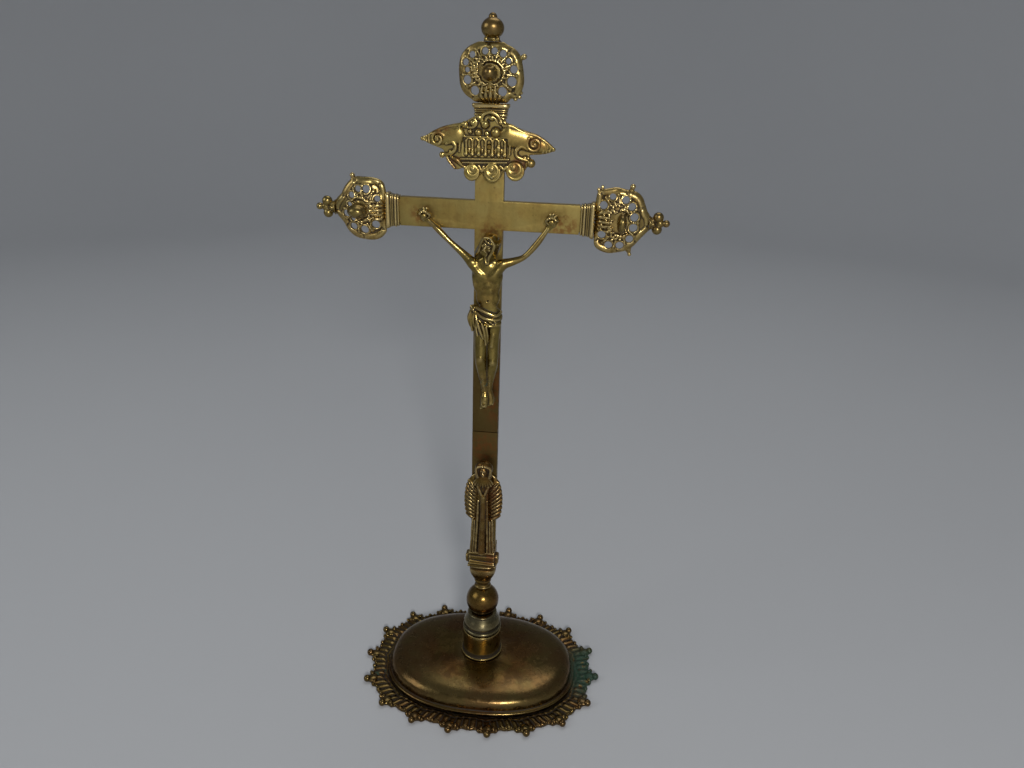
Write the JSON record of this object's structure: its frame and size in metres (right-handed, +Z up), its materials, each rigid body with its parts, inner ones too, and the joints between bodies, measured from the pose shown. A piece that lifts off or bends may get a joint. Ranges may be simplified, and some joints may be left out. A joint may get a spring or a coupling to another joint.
{
  "type": "altar cross",
  "caption": "Standing brass altar crucifix: lobed oval foot, turned stem with a small figure on a plinth, flat cross with openwork rosette ends, corpus and scrolled name plate.",
  "frame": {"origin": "middle of the foot's outline, on the plane the foot rests on", "axes": "+Z up along the stem and the upright, the corpus and the front of the cross face -Y, +X along the viewer's right arm"},
  "size_m": [0.1626, 0.1038, 0.35],
  "materials": {
    "brass_plate": "aged satin, brushed along the bars",
    "brass_cast": "aged cast brass, dark in the hollows and rubbed bright on the high points",
    "brass_turned": "aged turned brass, half polished",
    "brass_foot": "brown patina, rubbed bright, verdigris on the flange",
    "iron": "plain dark iron inside the stem and the foot"
  },
  "bodies": {
    "root": {"foot_flange": "brass_foot", "foot_dome": "brass_foot", "tie_rod": "iron", "tie_washer": "iron", "tie_nut": "iron", "stem_socket": "brass_turned", "stem_collar": "brass_turned", "stem_knop": "brass_turned", "stem_taper": "brass_cast", "stem_plinth": "brass_cast", "stem_bar": "brass_plate", "cross_plate": "brass_plate", "sleeve_top": "brass_cast", "sleeve_left": "brass_cast", "sleeve_right": "brass_cast", "rosette_top": "brass_cast", "rosette_left": "brass_cast", "rosette_right": "brass_cast", "stud_top": "brass_turned", "stud_left": "brass_turned", "stud_right": "brass_turned", "finial_top": "brass_turned", "finial_left": "brass_cast", "finial_right": "brass_cast", "corpus": "brass_cast", "nail_left": "brass_turned", "nail_right": "brass_turned", "nail_feet": "brass_turned", "name_plaque": "brass_cast", "shrine_figure": "brass_cast", "shrine_rays": "brass_cast", "pin_plaque": "brass_turned", "pin_shrine": "brass_turned"}
  },
  "joints": []
}
